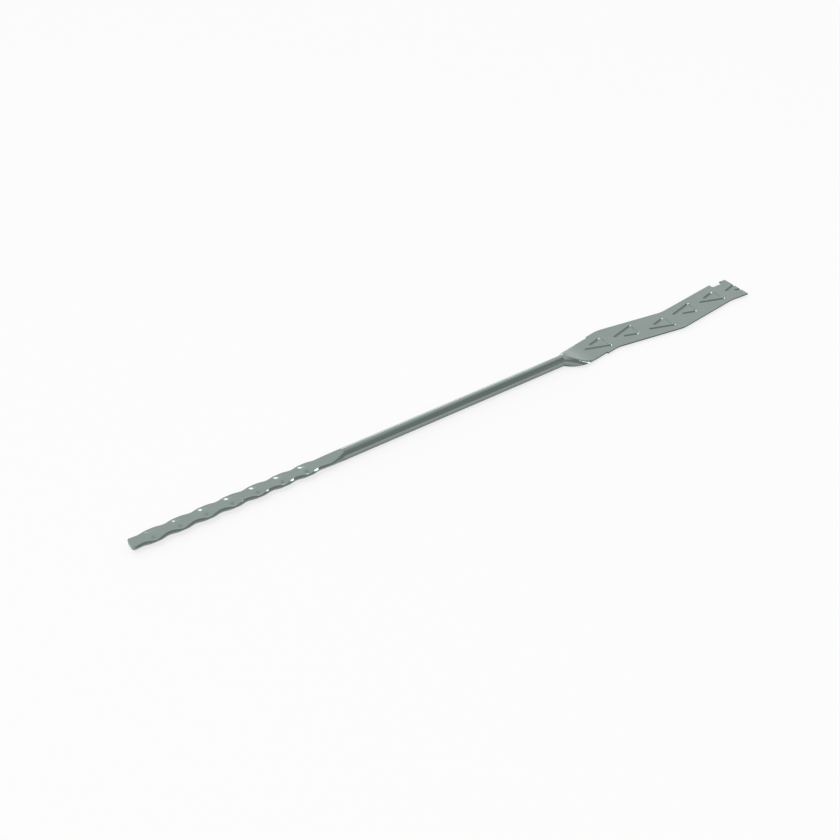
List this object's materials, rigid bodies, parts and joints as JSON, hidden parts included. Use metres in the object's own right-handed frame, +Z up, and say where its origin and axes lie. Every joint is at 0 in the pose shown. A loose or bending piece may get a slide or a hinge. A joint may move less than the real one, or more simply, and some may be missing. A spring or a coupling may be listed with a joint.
{
  "type": "cavity wall tie",
  "caption": "Slim wall tie rolled from one steel strip: crimped flat end for mortar, round tube shank, and a flat zigzag blade with pressed triangular beads and a notch.",
  "frame": {"origin": "mid length, under the middle of the tube, on the surface that the tie lies on", "axes": "+X along the tie from the crimped tip to the zigzag blade, +Z up, square to the blade"},
  "size_m": [0.25, 0.0161, 0.004],
  "materials": {
    "steel": "mill-finish steel strip, rolled and pressed"
  },
  "bodies": {
    "root": {"wall_tie": "steel"}
  },
  "joints": []
}
